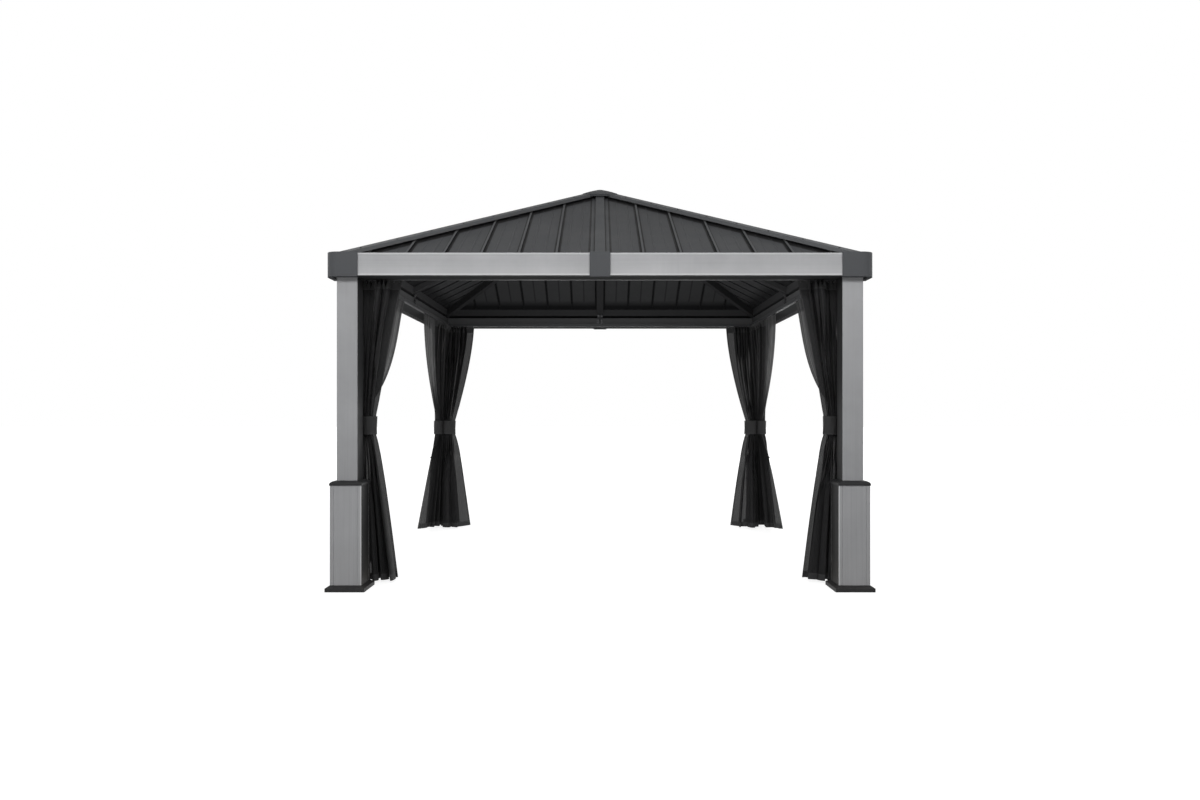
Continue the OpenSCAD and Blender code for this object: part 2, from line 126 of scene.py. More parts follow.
def studio():
    """A white room: an even glow all round, soft lamps at the front, inside and behind, and a pale floor."""
    scene = bpy.context.scene
    scene.view_settings.view_transform = "Standard"
    world = bpy.data.worlds.new("studio")
    scene.world = world
    world.use_nodes = True
    b = Board(world.node_tree)
    ambient = b.tree.nodes["Background"]
    b.wire((1, 1, 1, 1), ambient, "Color")
    b.wire(0.19, ambient, "Strength")
    glow, seen = seen_white(b, "ShaderNodeBackground", 1.0)
    mixed(b, seen, ambient.outputs[0], glow, "World Output")

    softbox("top_strip", (-0.3, -4.3, 3.25), (-0.3, -1.8, 1.9), (8.0, 0.7), 104)
    softbox("front_fill", (-3.5, -16.0, 1.5), (0, 0, 1.2), (11, 2.6), 330)
    softbox("floor_bounce", (0, 0.2, 0.02), (0, 0.2, 2.0), (3, 3), 8)
    softbox("room_strip", (0, -1.45, 1.85), (0, 1.7, 2.1), (2.2, 0.25), 24)
    softbox("back_strip", (1.0, 4.6, 3.3), (0, 1.8, 1.9), (5.5, 0.7), 50)
    softbox("back_fill", (1.0, 16.0, 1.6), (0, 0, 1.2), (11, 2.6), 260)
    softbox("left_strip", (-4.9, 0.6, 3.4), (-1.8, 0, 1.9), (5.0, 0.7), 30)
    softbox("right_strip", (4.9, 0.6, 3.4), (1.8, 0, 1.9), (5.0, 0.7), 30)

    side, drop = 60.0, -0.001
    ground = bpy.data.meshes.new("floor")
    corners = [(-side, -side, drop), (side, -side, drop), (side, side, drop), (-side, side, drop)]
    ground.from_pydata(corners, [], [(0, 1, 2, 3)])
    floor = bpy.data.objects.new("floor", ground)
    scene.collection.objects.link(floor)
    pale, b, lit = material("pale_floor")
    b.wire((0.42, 0.42, 0.42, 1), lit, "Base Color")
    b.wire(0.9, lit, "Roughness")
    # The floor's own glow grows to full white well away from the feet, between 2.6 m and 6 m from the middle
    strength = b.ramp(b.vector("LENGTH", b.here(), out=1), 2.6, 6.0, 0.86)
    glow, seen = seen_white(b, "ShaderNodeEmission", strength)
    add = b.put("ShaderNodeAddShader")
    b.wire(lit.outputs[0], add, 0)
    b.wire(glow, add, 1)
    mixed(b, seen, lit.outputs[0], add.outputs[0], "Material Output")
    ground.materials.append(pale)


# ---------------- shared effects


class Board:
    """A node tree with short calls: put() places a node and wire() joins an output, or sets a number."""

    def __init__(self, tree):
        self.tree = tree

    def put(self, kind, **settings):
        node = self.tree.nodes.new(kind)
        for key, value in settings.items():
            setattr(node, key, value)
        return node

    def wire(self, source, node, socket):
        target = node.inputs[socket]
        if isinstance(source, bpy.types.NodeSocket):
            self.tree.links.new(source, target)
        else:
            target.default_value = source

    def math(self, operation, a, b=0.0, clamp=False):
        node = self.put("ShaderNodeMath", operation=operation, use_clamp=clamp)
        self.wire(a, node, 0)
        self.wire(b, node, 1)
        return node.outputs[0]

    def vector(self, operation, a, b=(0, 0, 0), out=0):
        node = self.put("ShaderNodeVectorMath", operation=operation)
        self.wire(a, node, 0)
        self.wire(b, node, 1)
        return node.outputs[out]

    def noise(self, where, scale, detail=2.0, rough=0.5):
        node = self.put("ShaderNodeTexNoise")
        for key, value in (("Vector", where), ("Scale", scale), ("Detail", detail), ("Roughness", rough)):
            self.wire(value, node, key)
        return node.outputs["Fac"]

    def ramp(self, value, low, high, to_low=0.0, to_high=1.0):
        node = self.put("ShaderNodeMapRange")
        for key, number in enumerate((value, low, high, to_low, to_high)):
            self.wire(number, node, key)
        return node.outputs[0]

    def blend(self, share, a, b):
        node = self.put("ShaderNodeMix", data_type="RGBA")
        self.wire(share, node, 0)
        for key, value in ((6, a), (7, b)):
            self.wire((*value, 1.0) if isinstance(value, tuple) and len(value) == 3 else value, node, key)
        return node.outputs[2]

    def group(self, tree, **values):
        node = self.put("ShaderNodeGroup", node_tree=tree)
        for key, value in values.items():
            self.wire(value, node, key)
        return node.outputs

    def times(self, a, b):
        return self.math("MULTIPLY", a, b)

    def past(self, a, b):
        """1 where a is greater than b."""
        return self.math("GREATER_THAN", a, b)

    def near(self, value, full, gone, most=1.0):
        """The most up to full, falling to 0 at gone."""
        return self.ramp(value, full, gone, most, 0.0)

    def wave(self, length, pitch):
        """The sine of a length, with one turn for each pitch."""
        return self.math("SINE", self.times(self.math("DIVIDE", length, pitch), 2 * math.pi))

    def apart(self, source):
        """The x, y and z of a vector."""
        node = self.put("ShaderNodeSeparateXYZ")
        self.wire(source, node, 0)
        return tuple(node.outputs)

    def here(self):
        """The place on the piece, in metres."""
        return self.put("ShaderNodeTexCoord").outputs["Object"]

    def plan(self):
        """The distances |x| and |y| from the middle, and the height z."""
        x, y, z = self.apart(self.here())
        return self.math("ABSOLUTE", x), self.math("ABSOLUTE", y), z

    def facing(self):
        """The z of the face's normal: 1 where it looks up, and -1 where it looks down."""
        return self.apart(self.put("ShaderNodeNewGeometry").outputs["Normal"])[2]

    def bump(self, height, strength, distance, normal=None):
        node = self.put("ShaderNodeBump")
        for key, value in (("Height", height), ("Strength", strength), ("Distance", distance)):
            self.wire(value, node, key)
        if normal is not None:
            self.wire(normal, node, "Normal")
        return node.outputs[0]


def effect(name, inputs, outputs):
    """A new node group with the named number or vector inputs; its outputs are numbers but for Normal."""
    tree = bpy.data.node_groups.new(name, "ShaderNodeTree")
    for key, start in inputs.items():
        kind = "NodeSocketVector" if isinstance(start, tuple) else "NodeSocketFloat"
        tree.interface.new_socket(key, in_out="INPUT", socket_type=kind).default_value = start
    for key in outputs:
        kind = "NodeSocketVector" if key == "Normal" else "NodeSocketFloat"
        tree.interface.new_socket(key, in_out="OUTPUT", socket_type=kind)
    board = Board(tree)
    return board, board.put("NodeGroupInput").outputs, board.put("NodeGroupOutput")


def powder_grain():
    """Fine bumps of sprayed powder, and broad faint mottling."""
    b, given, out = effect("powder_grain", {"Grain": 900.0, "Patch": 2.2}, ("Height", "Mottle"))
    where = b.here()
    b.wire(b.noise(where, given["Grain"], 2.0), out, "Height")
    b.wire(b.noise(where, given["Patch"], 4.0, 0.6), out, "Mottle")
    return b.tree


def edge_rub_and_highlight():
    """How near a sharp edge is, for painted highlights along the edges; the same broken up where paint thins,
    for rubbed edges; and a normal that rounds the edge off.
    """
    b, given, out = effect("edge_rub_and_highlight", {"Radius": 0.0015, "Breakup": 26.0}, ("Mask", "Edge", "Normal"))
    bevel = b.put("ShaderNodeBevel", samples=4)
    b.wire(given["Radius"], bevel, "Radius")
    flat = b.put("ShaderNodeNewGeometry")
    same = b.vector("DOT_PRODUCT", bevel.outputs[0], flat.outputs["Normal"], out=1)
    edge = b.ramp(b.math("SUBTRACT", 1.0, same), 0.01, 0.12)
    torn = b.ramp(b.noise(b.here(), given["Breakup"], 5.0, 0.65), 0.52, 0.66)
    b.wire(b.times(edge, torn), out, "Mask")
    b.wire(edge, out, "Edge")
    b.wire(bevel.outputs[0], out, "Normal")
    return b.tree


def settled_dust():
    """Dust on faces that look up, and splashes and dirt that thin out above the ground."""
    b, given, out = effect("settled_dust", {"Lying": 0.5, "Splash": 0.5, "Reach": 0.35}, ("Mask",))
    where = b.here()
    cloud = b.noise(where, 7.0, 6.0, 0.62)
    lying = b.times(b.ramp(b.facing(), 0.4, 0.95), given["Lying"])
    height = b.math("DIVIDE", b.apart(where)[2], given["Reach"])
    low = b.times(b.near(height, 0.0, 1.0), given["Splash"])
    both = b.math("ADD", lying, low, clamp=True)
    b.wire(b.times(both, b.ramp(cloud, 0.32, 0.72)), out, "Mask")
    return b.tree


def rain_streaks():
    """Faint streaks that run down the roof slopes and the uprights from above."""
    b, given, out = effect("rain_streaks", {"Along": (60.0, 60.0, 1.5)}, ("Mask",))
    where = b.here()
    fine = b.noise(b.vector("MULTIPLY", where, given["Along"]), 1.0, 4.0, 0.6)
    wide = b.noise(where, 1.7, 3.0)
    b.wire(b.times(b.ramp(fine, 0.45, 0.75), b.ramp(wide, 0.35, 0.7)), out, "Mask")
    return b.tree


def knitted_net():
    """Hexagon-like holes of a knitted net: three sets of threads at 60 degrees, on the cloth's own metres."""
    threads = {"Pitch": 0.0026, "Least": 0.90, "Most": 0.985}
    b, given, out = effect("knitted_net", threads, ("Cover", "Height"))
    cloth = b.put("ShaderNodeUVMap", uv_map="cloth").outputs[0]
    total = None
    for turn in (0.0, 60.0, 120.0):
        a = math.radians(turn)
        across = b.vector("DOT_PRODUCT", cloth, (math.cos(a), math.sin(a), 0), out=1)
        turns = b.times(b.math("DIVIDE", across, given["Pitch"]), 2 * math.pi)
        thread = b.math("POWER", b.math("ABSOLUTE", b.math("COSINE", turns)), 3.0)
        total = thread if total is None else b.math("MAXIMUM", total, thread)
    b.wire(b.ramp(total, 0.35, 0.9, given["Least"], given["Most"]), out, "Cover")
    b.wire(total, out, "Height")
    return b.tree


def woven_tape():
    """Ribs of a plain woven tape, and rows of stitches at both of its edges, on the cloth's own metres."""
    b, given, out = effect("woven_tape", {"Rib": 0.0016, "Stitch": 0.006}, ("Height", "Tone", "Thread"))
    cloth = b.put("ShaderNodeUVMap", uv_map="cloth").outputs[0]
    across, along, _ = b.apart(cloth)
    weave = b.math("ADD", b.wave(across, given["Rib"]), b.wave(along, given["Rib"]))
    b.wire(b.times(weave, 0.5), out, "Height")
    b.wire(b.noise(b.vector("MULTIPLY", cloth, (40.0, 400.0, 1.0)), 1.0, 3.0), out, "Tone")
    run, inside, _ = b.apart(b.put("ShaderNodeUVMap", uv_map="rim").outputs[0])
    row = b.ramp(b.math("ABSOLUTE", b.math("SUBTRACT", inside, 0.006)), 0.0012, 0.0006)
    dash = b.wave(run, given["Stitch"])
    b.wire(b.times(row, b.ramp(dash, -0.3, 0.1)), out, "Thread")
    return b.tree


# ---------------- finishes


BARE_STEEL = (0.42, 0.43, 0.44)
DUST = (0.33, 0.31, 0.28)


def material(name):
    made = bpy.data.materials.new(name)
    made.use_nodes = True
    board = Board(made.node_tree)
    return made, board, made.node_tree.nodes["Principled BSDF"]


def outward(b, face):
    """1 on what lies within a hair of the outer face, face from the middle in x or y, and 0 behind it."""
    x, y, _ = b.plan()
    return b.ramp(b.math("MAXIMUM", x, y), face - 0.001, face)


def painted(name, colour, inner=None, face=None, rough=0.5, worn=0.35, dusty=0.3, streaks=0.2, rim=None,
            splash=0.5, mottle=0.06, shine=0.12, under=None, drawn=0.0, drawn_way=(130.0, 130.0, 0.7),
            painted_light=None, round_off=0.0015):
    """Powder-coated metal: grain, mottling, rubbed edges, streaks and dust over one or two paint colours,
    with painted shade and highlights. inner is the colour behind the outer face, which is face away from the
    middle;
    under is a darker colour painted on faces that look down, as painted shade, and rim a paler colour painted
    along every edge, as a painted highlight. drawn is the share of fine lines, and a piece's own function, if
    given, adds its painted shade and highlights."""
    made, b, shader = material(name)
    grain = b.group(GROUPS["grain"])
    edge = b.group(GROUPS["edge"], Radius=round_off)
    dust = b.group(GROUPS["dust"], Lying=dusty, Splash=splash)
    rain = b.group(GROUPS["rain"])
    paint = colour
    if inner is not None:
        paint = b.blend(outward(b, face), inner, colour)
    # Faces that look down take the darker under colour, as painted shade
    if under is not None:
        paint = b.blend(b.ramp(b.facing(), -0.3, 0.1), under, colour)
    light = b.ramp(grain["Mottle"], 0.3, 0.7, 1 - mottle, 1 + mottle)
    if drawn:
        lines = b.noise(b.vector("MULTIPLY", b.here(), drawn_way), 1.0, 3.0, 0.6)
        light = b.times(light, b.ramp(lines, 0.3, 0.7, 1 - drawn, 1 + drawn))
    shade = b.put("ShaderNodeVectorMath", operation="SCALE")
    b.wire(paint, shade, 0)
    b.wire(light, shade, "Scale")
    tone = shade.outputs[0]
    # A piece's own painted shade and highlights go on here
    if painted_light is not None:
        tone = painted_light(b, tone)
    tone = b.blend(b.times(rain["Mask"], streaks), tone, tuple(0.55 * c for c in colour))
    # A paler rim colour along every edge, as a painted highlight
    if rim is not None:
        tone = b.blend(b.times(edge["Edge"], 0.6), tone, rim)
    tone = b.blend(b.times(edge["Mask"], worn), tone, BARE_STEEL)
    b.wire(b.blend(dust["Mask"], tone, DUST), shader, "Base Color")
    shader.inputs["Specular IOR Level"].default_value = shine
    gloss = b.ramp(grain["Mottle"], 0.3, 0.7, rough - 0.06, rough + 0.06)
    gloss = b.math("ADD", gloss, b.times(dust["Mask"], 0.35), clamp=True)
    gloss = b.math("SUBTRACT", gloss, b.times(edge["Mask"], 0.12), clamp=True)
    gloss = b.math("ADD", gloss, b.near(b.facing(), -0.7, -0.2, 0.35), clamp=True)
    b.wire(gloss, shader, "Roughness")
    b.wire(b.bump(grain["Height"], 0.35, 0.0004, edge["Normal"]), shader, "Normal")
    return made


def upright(b, facing):
    """1 on faces that stand nearly upright."""
    return b.math("LESS_THAN", b.math("ABSOLUTE", facing), 0.25)


def rib_shade_and_highlight(b, tone):
    """Painted shade at the foot and on the sides of each rib, beside the batten and beside the hips, and a
    painted highlight on each rib's top; underneath, dark seams and painted shade over the rails. The distance
    along the eave is |x| on the front and rear slopes and |y| on the others; less its nearest rib's place, it
    is the distance from that rib."""
    x, y, _ = b.plan()
    along = b.math("ADD", x, b.times(b.past(x, y), b.math("SUBTRACT", y, x)))
    bay = RIB_PITCH / 2
    turn = b.math("FLOORED_MODULO", b.math("ADD", along, bay - RIB_FIRST), RIB_PITCH)
    away = b.math("ABSOLUTE", b.math("SUBTRACT", turn, bay))
    edge = RIB_W / 2
    foot = b.times(b.near(away, edge + 0.012, edge + 0.017), b.past(away, edge + 0.0002))
    batten = b.times(b.near(along, 0.078, 0.084), b.past(along, 0.066))
    hip = b.near(b.math("ABSOLUTE", b.math("SUBTRACT", x, y)), HIP_EDGE + 0.008, HIP_EDGE + 0.026)
    above = b.math("MAXIMUM", b.math("MAXIMUM", foot, batten), hip)
    # Underneath, a dark seam runs along each rib and a faint one midway, and painted shade lies over the
    # rails
    midway = b.ramp(away, bay - 0.009, bay - 0.004, 0.0, 0.5)
    seam = b.math("MAXIMUM", b.near(away, 0.009, 0.013), midway)
    over_rail = b.ramp(b.math("MAXIMUM", x, y), POST_IN - 0.16, POST_IN - 0.055)
    below = b.math("MAXIMUM", seam, over_rail)
    facing = b.facing()
    side = b.math("ADD", below, b.times(b.past(facing, 0.0), b.math("SUBTRACT", above, below)))
    mask = b.times(b.math("MAXIMUM", side, upright(b, facing)), 0.94)
    # Rib tops that look up are painted paler, as a painted highlight; every mask above paints near-black
    # painted shade
    top = b.times(b.math("LESS_THAN", away, edge - 0.0001), b.past(facing, 0.5))
    tone = b.blend(b.times(top, 0.5), tone, (0.105, 0.109, 0.113))
    return b.blend(mask, tone, (0.006, 0.006, 0.0065))


def dark_sides(b, tone):
    """Painted shade on the upright sides of a pressed strip, and in the corner at their foot."""
    x, y, _ = b.plan()
    near = b.math("MINIMUM", x, y)
    corner = b.times(b.near(near, 0.042, 0.047), b.past(near, 0.0362))
    # The upright sides and the foot corner are painted near-black, as painted shade
    painted_shade = b.math("MAXIMUM", upright(b, b.facing()), corner)
    return b.blend(b.times(painted_shade, 0.85), tone, (0.008, 0.008, 0.0085))


def fascia_highlights(b, tone):
    """Painted highlights: the fascia's outermost beads, along its top and bottom edges, and the lower part of
    its face are painted paler, as if they caught more light."""
    x, y, z = b.plan()
    far = b.math("MAXIMUM", x, y)
    tone = b.blend(b.times(b.past(far, FASCIA_OUT - 0.0012), 0.75), tone, (0.56, 0.565, 0.575))
    low = b.near(z, EAVE + 0.010, EAVE + 0.085, 0.26)
    return b.blend(b.times(low, b.past(far, FASCIA_OUT - 0.006)), tone, (0.64, 0.645, 0.65))


def arris_highlight(b, tone):
    """The base boxes' upright edges nearest the way in are painted paler, as a painted highlight: the smaller
    of |x| and |y| lies at the box's inner face, and the larger at its outer one."""
    x, y, _ = b.plan()
    near = b.near(b.math("MINIMUM", x, y), BOX_IN + 0.0045, BOX_IN + 0.0075)
    outer = b.past(b.math("MAXIMUM", x, y), BOX_OUT - 0.002)
    return b.blend(b.times(b.times(near, outer), 0.8), tone, (0.70, 0.705, 0.715))


def track_metal():
    made, b, shader = material("dark_anodised_track")
    drawn = b.noise(b.vector("MULTIPLY", b.here(), (1.5, 1.5, 900.0)), 1.0, 3.0, 0.6)
    edge = b.group(GROUPS["edge"], Radius=0.0008)
    dust = b.group(GROUPS["dust"], Lying=0.4, Splash=0.0)
    tone = b.blend(b.ramp(drawn, 0.3, 0.7), (0.040, 0.041, 0.043), (0.066, 0.067, 0.070))
    tone = b.blend(b.times(edge["Mask"], 0.5), tone, (0.22, 0.22, 0.225))
    b.wire(b.blend(dust["Mask"], tone, (0.12, 0.115, 0.11)), shader, "Base Color")
    shader.inputs["Metallic"].default_value = 0.1
    shader.inputs["Specular IOR Level"].default_value = 0.08
    b.wire(b.ramp(drawn, 0.3, 0.7, 0.34, 0.5), shader, "Roughness")
    b.wire(b.bump(drawn, 0.3, 0.0003, edge["Normal"]), shader, "Normal")
    return made


def net_cloth():
    made, b, shader = material("black_netting")
    net = b.group(GROUPS["net"])
    cloud = b.noise(b.here(), 9.0, 4.0)
    tone = b.blend(b.ramp(cloud, 0.3, 0.7), (0.007, 0.007, 0.0075), (0.0125, 0.0125, 0.013))
    b.wire(tone, shader, "Base Color")
    b.wire(b.ramp(cloud, 0.3, 0.7, 0.62, 0.78), shader, "Roughness")
    b.wire(net["Cover"], shader, "Alpha")
    shader.inputs["Specular IOR Level"].default_value = 0.2
    shader.inputs["Sheen Weight"].default_value = 0.08
    shader.inputs["Sheen Roughness"].default_value = 0.4
    b.wire(b.bump(net["Height"], 0.3, 0.0003), shader, "Normal")
    return made


def tape_cloth(name, dark, pale):
    made, b, shader = material(name)
    tape = b.group(GROUPS["tape"])
    tone = b.blend(b.ramp(tape["Tone"], 0.3, 0.7), dark, pale)
    tone = b.blend(b.times(tape["Thread"], 0.8), tone, (0.06, 0.06, 0.062))
    b.wire(tone, shader, "Base Color")
    b.wire(b.ramp(tape["Tone"], 0.3, 0.7, 0.7, 0.88), shader, "Roughness")
    high = b.math("ADD", tape["Height"], b.times(tape["Thread"], 1.5))
    b.wire(b.bump(high, 0.5, 0.0004), shader, "Normal")
    return made


def plated_steel():
    made, b, shader = material("black_zinc")
    patch = b.noise(b.here(), 160.0, 4.0)
    edge = b.group(GROUPS["edge"], Radius=0.0006, Breakup=90.0)
    tone = b.blend(b.ramp(patch, 0.35, 0.7), (0.035, 0.036, 0.038), (0.07, 0.071, 0.074))
    b.wire(b.blend(b.times(edge["Mask"], 0.7), tone, (0.4, 0.4, 0.4)), shader, "Base Color")
    shader.inputs["Metallic"].default_value = 0.6
    b.wire(b.ramp(patch, 0.3, 0.7, 0.32, 0.5), shader, "Roughness")
    b.wire(b.bump(patch, 0.2, 0.0002, edge["Normal"]), shader, "Normal")
    return made


def glider_plastic():
    made, b, shader = material("black_nylon")
    patch = b.noise(b.here(), 240.0, 3.0)
    tone = b.blend(b.ramp(patch, 0.3, 0.7), (0.018, 0.018, 0.019), (0.032, 0.032, 0.034))
    b.wire(tone, shader, "Base Color")
    b.wire(b.ramp(patch, 0.3, 0.7, 0.36, 0.5), shader, "Roughness")
    b.wire(b.bump(patch, 0.2, 0.0002), shader, "Normal")
    return made


# ---------------- mesh work


def piece(name, points, faces, finish, uvs=None, crease=35):
    """Makes a piece of the gazebo from whole arrays of points and faces, with its place in its mesh.
    uvs holds named maps, each with one pair of numbers a point. Edges sharper than crease stay sharp."""
    mesh = bpy.data.meshes.new(name)
    mesh.from_pydata(np.asarray(points, float).reshape(-1, 3).tolist(), [], faces)
    mesh.materials.append(finish)
    loops = np.zeros(len(mesh.loops), np.int32)
    mesh.loops.foreach_get("vertex_index", loops)
    for key, pairs in (uvs or {}).items():
        layer = mesh.uv_layers.new(name=key)
        layer.data.foreach_set("uv", np.asarray(pairs, np.float32).reshape(-1, 2)[loops].ravel())
    mesh.polygons.foreach_set("use_smooth", np.ones(len(mesh.polygons), bool))
    mesh.set_sharp_from_angle(angle=math.radians(crease))
    mesh.validate()
    made = bpy.data.objects.new(name, mesh)
    bpy.context.scene.collection.objects.link(made)
    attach(made, "root")
    return made


def grid_faces(rows, columns, around=False, flip=False):
    """Quads of a grid of points, row by row; around joins the last column to the first."""
    index = np.arange(rows * columns).reshape(rows, columns)
    if around:
        index = np.concatenate([index, index[:, :1]], axis=1)
    quads = np.stack([index[:-1, :-1], index[:-1, 1:], index[1:, 1:], index[1:, :-1]], axis=-1)
    if flip:
        quads = quads[..., ::-1]
    return quads.reshape(-1, 4)


def turned(outline, segments):
    """A solid of revolution about Z: each point (radius, height) of the outline is carried round in equal
    steps. The outline runs from the axis at the foot to the axis at the top."""
    outline = np.asarray(outline, float)
    turn = np.linspace(0, 2 * np.pi, segments, endpoint=False)
    ring = outline[1:-1]
    points = np.stack(
        [ring[:, :1] * np.cos(turn), ring[:, :1] * np.sin(turn), ring[:, 1:] * np.ones(segments)], axis=-1
    ).reshape(-1, 3)
    points = np.concatenate([points, [[0, 0, outline[0, 1]], [0, 0, outline[-1, 1]]]])
    faces = grid_faces(len(ring), segments, around=True).tolist()
    step = np.arange(segments)
    last = (len(ring) - 1) * segments
    foot, top = len(points) - 2, len(points) - 1
    faces += np.stack([np.full(segments, foot), (step + 1) % segments, step], axis=1).tolist()
    faces += np.stack([np.full(segments, top), last + step, last + (step + 1) % segments], axis=1).tolist()
    return points, faces


def repeated(shape, places, axes):
    """Copies of one shape: each copy's Z follows its axis, and its foot stands on its place."""
    points, faces = shape
    places, up = np.asarray(places, float), np.asarray(axes, float)
    up = up / np.linalg.norm(up, axis=1, keepdims=True)
    aside = np.where(np.abs(up[:, 2:]) < 0.9, [[0.0, 0.0, 1.0]], [[1.0, 0.0, 0.0]])
    side = np.cross(aside, up)
    side /= np.linalg.norm(side, axis=1, keepdims=True)
    third = np.cross(up, side)
    frames = np.stack([side, third, up], axis=1)
    copies = np.einsum("pk,nkj->npj", points, frames) + places[:, None, :]
    count = len(points)
    lists = []
    for n in range(len(places)):
        lists += [[i + n * count for i in face] for face in faces]
    return copies.reshape(-1, 3), lists


def bars(starts, ends, profile, across, up):
    """Straight bars with one profile: each point (a, b) of the closed profile is carried from the bar's start
    to its end, a along across and b along up. Ends are closed."""
    starts, ends, across, up = (np.asarray(x, float) for x in (starts, ends, across, up))
    profile = np.asarray(profile, float)
    offset = profile[None, :, :1] * across[:, None, :] + profile[None, :, 1:] * up[:, None, :]
    rings = np.stack([starts[:, None, :] + offset, ends[:, None, :] + offset], axis=1)
    number, _, count, _ = rings.shape
    base = np.arange(number)[:, None] * 2 * count
    step = np.arange(count)
    after = (step + 1) % count
    sides = np.stack([base + step, base + after, base + count + after, base + count + step], axis=-1)
    faces = sides.reshape(-1, 4).tolist()
    faces += (base + step[::-1]).tolist()
    faces += (base + count + step).tolist()
    return rings.reshape(-1, 3), faces


def two_layers(front, back):
    """Two grids of points, one behind the other, as one shell that is closed along their rim."""
    rows, columns = front.shape[:2]
    count = rows * columns
    index = np.arange(count).reshape(rows, columns)
    loop = np.concatenate([index[0, :-1], index[:-1, -1], index[-1, :0:-1], index[:0:-1, 0]])
    after = np.roll(loop, -1)
    rim = np.stack([loop, loop + count, after + count, after], axis=1)
    faces = np.concatenate([grid_faces(rows, columns), grid_faces(rows, columns, flip=True) + count, rim])
    return np.concatenate([front.reshape(-1, 3), back.reshape(-1, 3)]), faces


def outward_faces(made):
    """Turns a closed piece's faces so that they all point out."""
    work = bmesh.new()
    work.from_mesh(made.data)
    bmesh.ops.recalc_face_normals(work, faces=work.faces)
    work.to_mesh(made.data)
    work.free()
    return made


def quarter_turns(points):
    """The same points on all four sides of the roof, turned about Z."""
    points = np.asarray(points, float)
    turns = []
    for k in range(4):
        c, s = round(math.cos(k * math.pi / 2)), round(math.sin(k * math.pi / 2))
        turns.append(points @ np.array([[c, s, 0], [-s, c, 0], [0, 0, 1]], float))
    return np.concatenate(turns)


# Screw and bolt heads, as outlines of radius and height
PAN_HEAD = turned(
    [(0, 0), (0.0048, 0), (0.0048, 0.0008), (0.0040, 0.0024), (0.0022, 0.0032), (0.0018, 0.0022),
     (0, 0.0022)], 10)
HEX_HEAD = turned(
    [(0, 0), (0.0085, 0), (0.0085, 0.0012), (0.0056, 0.0014), (0.0056, 0.0052), (0.0046, 0.0060),
     (0, 0.0060)], 6)
BOLT_HEAD = turned(
    [(0, 0), (0.0120, 0), (0.0120, 0.0018), (0.0082, 0.0018), (0.0082, 0.0070), (0.0070, 0.0080),
     (0, 0.0080)], 12)


# ---------------- roof details


def on_slope(x, t, lift):
    """Points over the front slope, at x along the eave, t down from the apex and lift above the sheet."""
    x, t, lift = np.broadcast_arrays(np.asarray(x, float), np.asarray(t, float), np.asarray(lift, float))
    return np.stack([x, -t, roof(t) + lift], axis=-1)


def slope_up():
    """The front slope's unit normal."""
    up = np.array([0, -SLOPE, 1.0])
    return up / np.linalg.norm(up)


def rib_places():
    """The ribs' places along the eave."""
    x = RIB_FIRST + RIB_PITCH * np.arange(RIB_COUNT)
    return np.concatenate([-x[::-1], x])


def slope_bars(name, x, t_top, t_low, profile, lift, finish):
    """Bars that run down the front slope at each x, repeated on the four slopes."""
    starts = quarter_turns(on_slope(x, t_top, lift))
    ends = quarter_turns(on_slope(x, t_low, lift))
    count = len(x)
    across = quarter_turns(np.tile([1.0, 0, 0], (count, 1)))
    up = quarter_turns(np.tile(slope_up(), (count, 1)))
    points, faces = bars(starts, ends, profile, across, up)
    return outward_faces(piece(name, points, faces, finish))


def hip_upstands(paint):
    """The sheets' turned-up edges, back to back along each hip, under its cap. They are painted charcoal,
    darker than the slate sheets, as painted shade in the gap under each cap.
    """
    t0, t1, sunk = 0.05, LOW_T - 0.06, 0.004
    starts = quarter_turns([[-t0, -t0, roof(t0) - sunk]])
    ends = quarter_turns([[-t1, -t1, roof(t1) - sunk]])
    across = quarter_turns([[0.7071, -0.7071, 0.0]])
    half = [(0.0012, 0.032), (0.004, 0.030), (0.004, 0.0)]
    profile = [(-a, b) for a, b in half[::-1]] + half
    points, faces = bars(starts, ends, profile, across, np.tile([0, 0, 1.0], (4, 1)))
    outward_faces(piece("hip_upstands", points, faces, paint))


def box_trims(paint):
    """Angle trims up the edges of the base boxes: an L with a round outer corner, carried up along Z."""
    leg, thick, r = 0.0235, 0.0014, 0.004
    foot, head = 0.0415, BOX_TOP - 0.0005
    arc = np.linspace(np.pi / 2, 0, 5)
    outer = np.stack([thick - r + r * np.cos(arc), thick - r + r * np.sin(arc)], axis=-1)
    profile = np.concatenate([[(-leg, 0), (-leg, thick)], outer, [(thick, -leg), (0, -leg), (0, 0)]])
    # Each row holds a box's side of the middle in x and y, then an edge's side of the box in x and y
    signs = np.array(list(itertools.product((-1, 1), repeat=4)), float)
    spots = signs[:, :2] * (BOX_OUT + BOX_IN) / 2 + signs[:, 2:] * (BOX_OUT - BOX_IN) / 2
    none = np.zeros(len(signs))
    starts = np.column_stack([spots, np.full(len(signs), foot)])
    ends = np.column_stack([spots, np.full(len(signs), head)])
    across = np.column_stack([signs[:, 2], none, none])
    up = np.column_stack([none, signs[:, 3], none])
    points, faces = bars(starts, ends, profile, across, up)
    outward_faces(piece("box_trims", points, faces, paint, crease=50))


